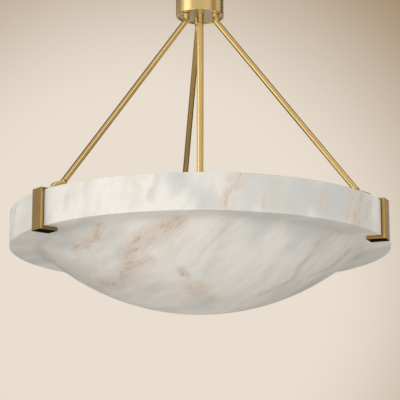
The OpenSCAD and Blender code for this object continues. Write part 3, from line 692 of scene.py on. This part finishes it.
finishedLater = ("barBrass", "darkerArmBrass", "shadedArmBrass")
made = {name: metalFinish(name, look) for name, look in metals.items() if name not in finishedLater}
made.update({name: mouldedFinish(name, look) for name, look in softs.items()})
made["honedAlabaster"] = honedAlabaster()
made["barBrass"] = barBrassFinish()
made["spunPlate"] = spunPlateFinish()
for number, angle in enumerate(layout["armAngles"], 1):
    # The grain's Z runs along the arm
    lean = Euler((0, -math.radians(layout["armTilt"]), math.radians(angle)), "XYZ")
    # Painted shade on the back arm; the other arms take the darker arm brass
    tone = "shadedArmBrass" if number == 1 else "darkerArmBrass"
    made["armBrass%d" % number] = metalFinish("armBrass%d" % number, metals[tone], lean)
print("materials ready:", len(made))


# Finishes of the CAD parts

finishes = {
    "honedAlabaster": ["bowl"],
    "brushedBrass": ["stem_tube", "elbow_1", "elbow_2", "elbow_3", "arm_end_rings"],
    "armBrass1": ["arm_1"],
    "armBrass2": ["arm_2"],
    "armBrass3": ["arm_3"],
    "turnedBrass": ["canopy_drum", "canopy_screws", "arm_washers", "arm_nuts", "cluster_cup",
                    "cluster_finial", "socket_arms", "socket_cups"],
    "satinBrass": ["cluster_lid"],
    "barBrass": ["rim_bracket_1", "rim_bracket_2", "rim_bracket_3"],
    "spunPlate": ["canopy_plate"],
    "threadBrass": ["stem_top_nipple", "stem_lower_nipple"],
    "pressedBrass": ["screw_shells", "centre_contacts"],
    "zincSteel": ["ceiling_bar", "stem_locknut", "arm_locknuts", "knuckle_studs", "elbow_screws"],
    "greenSteel": ["ground_screw"],
    "blackInsulation": ["live_lead", "stem_cable"],
    "whiteInsulation": ["neutral_lead", "socket_leads"],
    "greenInsulation": ["earth_lead"],
    "orangeConnector": ["wire_connectors"],
    "whiteNylon": ["cable_bushes"],
    "brownRubber": ["rim_pads"],
    "glazedPorcelain": ["lampholders"],
    "nickelCap": ["bulb_cap_%d" % n for n in range(1, 7)],
    "lampPlastic": ["bulb_body_%d" % n for n in range(1, 7)],
    "opalGlass": ["bulb_globe_%d" % n for n in range(1, 7)],
}
for finish, names in finishes.items():
    for name in names:
        for slot in nodes[name].material_slots:
            slot.material = made[finish]
print("CAD parts finished")


# Pieces turned from rows of points: each row is a radius and a height in mm, or functions of the angle

def turned(name, rows, finish, body, places, stands=(), count=72, ring=False, sharp=32):
    mesh = bmesh.new()
    for place in places:
        loops = []
        for radius, height in rows:
            steps = 1 if radius == 0 else count
            loop = []
            for step in range(steps):
                angle = 2 * math.pi * step / count
                r = radius(angle) if callable(radius) else radius
                z = height(angle) if callable(height) else height
                spot = Vector((mm(r) * math.cos(angle), mm(r) * math.sin(angle), mm(z)))
                loop.append(mesh.verts.new(place @ spot))
            loops.append(loop)
        pairs = list(zip(loops, loops[1:] + (loops[:1] if ring else [])))
        for low, high in pairs:
            for step in range(count):
                following = (step + 1) % count
                corners = [low[step % len(low)], low[following % len(low)],
                           high[following % len(high)], high[step % len(high)]]
                mesh.faces.new(list(dict.fromkeys(corners)))
    bmesh.ops.recalc_face_normals(mesh, faces=mesh.faces)
    data = bpy.data.meshes.new(name)
    mesh.to_mesh(data)
    mesh.free()
    data.polygons.foreach_set("use_smooth", [True] * len(data.polygons))
    data.set_sharp_from_angle(angle=math.radians(sharp))
    data.materials.append(made[finish])
    piece = bpy.data.objects.new(name, data)
    bpy.context.scene.collection.objects.link(piece)
    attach(piece, body)
    if stands:
        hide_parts(*stands)
    return piece


def around(angle, x, z=0, tilt=0):
    # A place round the stem, leaning outwards by the tilt
    return (Matrix.Rotation(math.radians(angle), 4, "Z") @ Matrix.Translation((mm(x), 0, mm(z)))
            @ Matrix.Rotation(-math.radians(tilt), 4, "Y"))


armPlaces = [around(angle, layout["armCircle"]) for angle in layout["armAngles"]]
knucklePlaces = [around(angle, layout["knuckleX"], layout["knuckleZ"], layout["armTilt"])
                 for angle in layout["armAngles"]]
stemPlace = [Matrix.Identity(4)]


def heights(node):
    low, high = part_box(node)
    return low.z * 1000, high.z * 1000


def profile(rows, z):
    return [(radius, z + up) for radius, up in rows]


# Hexagonal nuts with turned corners

nuts = {
    "flats": 16,
    "bore": 5.05,        # radius
    "chamfer": 0.5,      # at the bore's mouths
    "turnedTo": 0.95,    # radius of the turned face, as a share of half the flats
    "slope": 30,         # degrees, of the turned corners
}


def hexEdge(flats):
    return lambda angle: flats / 2 / math.cos((angle % (math.pi / 3)) - math.pi / 6)


def makeNut(name, node, places, finish):
    low, high = heights(node)
    edge = hexEdge(nuts["flats"])
    face = nuts["flats"] / 2 * nuts["turnedTo"]
    drop = math.tan(math.radians(nuts["slope"]))
    bore, chamfer = nuts["bore"], nuts["chamfer"]
    rows = [
        (bore + chamfer, low), (face, low),
        (edge, lambda a: low + (edge(a) - face) * drop),
        (edge, lambda a: high - (edge(a) - face) * drop),
        (face, high), (bore + chamfer, high),
        (bore, high - chamfer), (bore, low + chamfer),
    ]
    return turned(name, rows, finish, "fixture", places, [node], count=96, ring=True, sharp=20)


makeNut("armHexNuts", "arm_nuts", armPlaces, "turnedBrass")
makeNut("armHexLocknuts", "arm_locknuts", armPlaces, "zincSteel")
makeNut("stemHexLocknut", "stem_locknut", stemPlace, "zincSteel")


# Thread turns where the arms' and the stem's ends stand out of their locknuts

threads = {
    "pitch": 1,
    "depth": 0.35,
    "rowsPerTurn": 8,
    "fade": 0.4,       # height in which the turns run out at both ends
    "gap": 0.05,       # to the locknut and to the rod's end
    "sunk": 0.02,      # the turns' roots, in the rod
    "inside": 0.3,     # the hidden side, in the rod
}


def threadRows(look, low, high, crest):
    rows = []
    total = max(2, round((high - low) / look["pitch"] * look["rowsPerTurn"]))
    for step in range(total + 1):
        z = low + (high - low) * step / total
        ease = min(1, (z - low) / look["fade"], (high - z) / look["fade"])

        def radius(angle, z=z, ease=ease):
            wave = 0.5 + 0.5 * math.cos(2 * math.pi * (z / look["pitch"]) - angle)
            return crest - look["depth"] + look["depth"] * wave * ease
        rows.append((radius, z))
    return rows


def makeThreads():
    low = heights("arm_locknuts")[1] + threads["gap"]
    high = heights("arm_1")[1] - threads["gap"]
    rows = threadRows(threads, low, high, layout["threadR"] + threads["depth"] - threads["sunk"])
    inside = layout["threadR"] - threads["inside"]
    rows += [(inside, high), (inside, low)]
    turned("threadTurns", rows, "threadBrass", "fixture", armPlaces + stemPlace, ring=True,
           sharp=60)


makeThreads()


# Rings at the arms' ends: two thin flanges with a dark core between them, painted shade for the groove

rings = {
    "r": 8.25,
    "bore": 3.05,
    "flange": 0.62,
    "core": 6.8,
    "round": 0.2,      # of the flanges' edges
    "corner": 0.3,     # share of the rounding where its middle point lies
}


def makeRings():
    low = layout["ringSeat"]
    high = low + layout["ringT"]
    r, soft = rings["r"], rings["round"]
    nip = soft * rings["corner"]
    for name, base in (("lower", low), ("upper", high - rings["flange"])):
        top = base + rings["flange"]
        rows = [(rings["bore"], base), (r - soft, base), (r - nip, base + nip), (r, base + soft),
                (r, top - soft), (r - nip, top - nip), (r - soft, top), (rings["bore"], top)]
        turned(name + "ArmRings", rows, "turnedBrass", "fixture", knucklePlaces,
               ["arm_end_rings"], ring=True, sharp=50)
    # The core is dark as painted shade in the groove between the flanges
    base, top = low + rings["flange"], high - rings["flange"]
    rows = [(rings["bore"], base), (rings["core"], base), (rings["core"], top), (rings["bore"], top)]
    turned("armRingShadeCores", rows, "grooveShadeSteel", "fixture", knucklePlaces, ["arm_end_rings"],
           ring=True)


makeRings()


# Countersunk screws under the straps, with a hexagon socket

strapScrew = {
    "headR": 4.6,
    "headH": 2,
    "headEdge": (0.15, 0.12),      # edges: how far in, and how far along the screw
    "socket": 3,                   # across its flats
    "socketDepth": 1.4,
    "socketEdge": (0.25, 0.15),
    "shankR": 2.5,
    "tipEdge": (0.5, 0.6),
}


def makeStrapScrews():
    low, high = heights("elbow_screws")
    look = strapScrew
    edge = hexEdge(look["socket"])
    deep = low + look["socketDepth"]
    flare, flareH = look["socketEdge"]
    head, headH = look["headEdge"]
    tip, tipH = look["tipEdge"]
    rows = [
        (0, deep), (edge, deep), (edge, low + flareH), (lambda a: edge(a) + flare, low),
        (look["headR"] - head, low), (look["headR"], low + headH), (look["shankR"], low + look["headH"]),
        (look["shankR"], high - tipH), (look["shankR"] - tip, high), (0, high),
    ]
    places = [around(angle, layout["footX"]) for angle in layout["armAngles"]]
    turned("strapScrews", rows, "zincSteel", "fixture", places, ["elbow_screws"], count=48,
           sharp=25)


makeStrapScrews()


# Wire connectors: ribbed cones with a flared skirt, mouth upwards

connector = {
    # Profiles of the closed end and of the mouth: radius, and height from that end
    "tip": [(0, 0), (2.7, 0), (3.3, 0.25), (3.55, 0.9)],
    "skirt": [(5.15, -2.3), (5.5, -1.7), (5.5, -0.3), (5.2, 0), (4.6, 0), (4.4, -0.3), (2.2, -4), (1.3, -5),
              (0, -5)],
    "cone": (3.55, 5.45),      # radius of the cone between them, carried on to both ends
    "ribs": 12,
    "ribDepth": 0.32,
    "ribEnds": (0.9, 2.5),     # from the closed end and from the mouth to the ribs
    "ribFade": 6,              # how sharply the ribs run out: more is sharper
    "ribRows": 13,
}


def makeConnectors():
    low, high = heights("wire_connectors")
    look = connector
    narrow, wide = look["cone"]
    first, last = low + look["ribEnds"][0], high - look["ribEnds"][1]
    rows = profile(look["tip"], low)
    for step in range(1, look["ribRows"]):
        share = step / look["ribRows"]
        z = first + (last - first) * share
        base = narrow + (wide - narrow) * (z - low) / (high - low)
        ease = min(1, look["ribFade"] * share, look["ribFade"] * (1 - share))

        def radius(angle, base=base, ease=ease):
            return base - look["ribDepth"] * ease * (0.5 - 0.5 * math.cos(look["ribs"] * angle))
        rows.append((radius, z))
    rows += profile(look["skirt"], high)
    places = [around(angle, layout["leadCircle"]) for angle in layout["leadAngles"]]
    turned("ribbedConnectors", rows, "orangeConnector", "fixture", places,
           ["wire_connectors"], count=96)


makeConnectors()


# Finial under the cluster: collar, neck and ball

finial = {
    # Profile of collar and neck: radius, and height from the top
    "collar": [(5.05, 0), (8.6, 0), (9, -0.4), (9, -2), (8.6, -2.4), (6.4, -2.7), (5.6, -3.5), (6, -4.3)],
    "ballFrom": 0.16,      # where the ball leaves the neck, as a share of a half turn
    "ballWide": 1.36,      # its width by its height
    "ballRows": 16,
}


def makeFinial():
    low, high = heights("cluster_finial")
    look = finial
    rows = profile(look["collar"], high)
    ball = (rows[-1][1] - low) / 2
    for step in range(1, look["ballRows"]):
        angle = math.pi * (look["ballFrom"] + (1 - look["ballFrom"]) * step / look["ballRows"])
        rows.append((ball * look["ballWide"] * math.sin(angle), low + ball + ball * math.cos(angle)))
    rows.append((0, low))
    turned("turnedFinial", rows, "turnedBrass", "fixture", stemPlace, ["cluster_finial"])


makeFinial()


# Lamps: rolled screw cap with its glass base and solder tip, moulded body and opal globe

lamp = {
    # Rolled thread of the cap, which starts over the cap's lower end and stops under its top
    "crest": 13, "depth": 0.95, "pitch": 3.63, "rowsPerTurn": 10, "fade": 2,
    "threadFrom": 5, "threadTo": 0.6,
    # Profiles: radius, and height from the lower or, where it is minus, the upper end of the CAD part
    "shellFoot": [(11.35, 4.8)],
    "shellTop": [(12.25, -0.2), (12.25, 0), (11.05, 0)],
    "base": [(0, 1.6), (4.1, 1.6), (5.1, 2.1), (8.4, 2.9), (10.6, 4.1), (11.3, 5.2), (0, 5.6)],
    "tip": [(0, 0), (2.6, 0.05), (3.8, 0.5), (4.4, 1.1), (4.5, 1.7), (0, 1.9)],
    "bodyFoot": [(0, 0), (12.05, 0), (12.8, 0.2), (13, 0.8)],
    "bodyShoulder": [(25, 22), (25, 22.9), (24.3, 23.2)],
    "bodyTop": [(24.3, -1.2), (25, -0.9), (25, 0), (0, 0)],
    "bodyStraight": 0.55,      # share of the body's flare that is straight; the rest is curved
    "bodyRows": 15,
    "globeNeck": [(0, 0.3), (25.8, 0), (26.7, 0), (27, 0.3)],
    "globeFrom": 0.4,          # height over the lower end where the sphere starts
    "globeR": 30,
    "globeRows": 30,
}


def makeLamps():
    look = lamp
    capLow, capHigh = heights("bulb_cap_1")
    bodyLow, bodyHigh = heights("bulb_body_1")
    globeLow, globeHigh = heights("bulb_globe_1")

    threadLow = capLow + look["threadFrom"]
    roll = threadRows(look, threadLow, capHigh - look["threadTo"], look["crest"])
    shell = profile(look["shellFoot"], capLow) + roll + profile(look["shellTop"], capHigh)
    shell.append((shell[-1][0], threadLow))
    base, tip = profile(look["base"], capLow), profile(look["tip"], capLow)

    body, shoulder = profile(look["bodyFoot"], bodyLow), profile(look["bodyShoulder"], bodyLow)
    (footR, footZ), (shoulderR, shoulderZ) = body[-1], shoulder[0]
    for step in range(1, look["bodyRows"]):
        share = step / look["bodyRows"]
        curve = 3 * share ** 2 - 2 * share ** 3
        out = look["bodyStraight"] * share + (1 - look["bodyStraight"]) * curve
        body.append((footR + (shoulderR - footR) * out, footZ + (shoulderZ - footZ) * share))
    body += shoulder + profile(look["bodyTop"], bodyHigh)

    globe = profile(look["globeNeck"], globeLow)
    lowest = math.pi - math.asin(globe[-1][0] / look["globeR"])
    for step in range(look["globeRows"] + 1):
        angle = lowest * (1 - step / look["globeRows"])
        z = globeHigh - look["globeR"] + look["globeR"] * math.cos(angle)
        if z > globeLow + look["globeFrom"]:
            globe.append((look["globeR"] * math.sin(angle), z))

    for number, angle in enumerate(layout["lampAngles"], 1):
        spot, carrier = [around(angle, layout["lampCircle"])], "lamp_%d" % number
        cap = ["bulb_cap_%d" % number]
        turned("capShell%d" % number, shell, "nickelCap", carrier, spot, cap, ring=True,
               sharp=60)
        turned("capBase%d" % number, base, "blackGlass", carrier, spot, cap, count=48)
        turned("capTip%d" % number, tip, "solderTip", carrier, spot, cap, count=36, sharp=60)
        turned("lampBody%d" % number, body, "lampPlastic", carrier, spot,
               ["bulb_body_%d" % number], sharp=35)
        turned("lampGlobe%d" % number, globe, "opalGlass", carrier, spot,
               ["bulb_globe_%d" % number], count=96, sharp=50)


makeLamps()
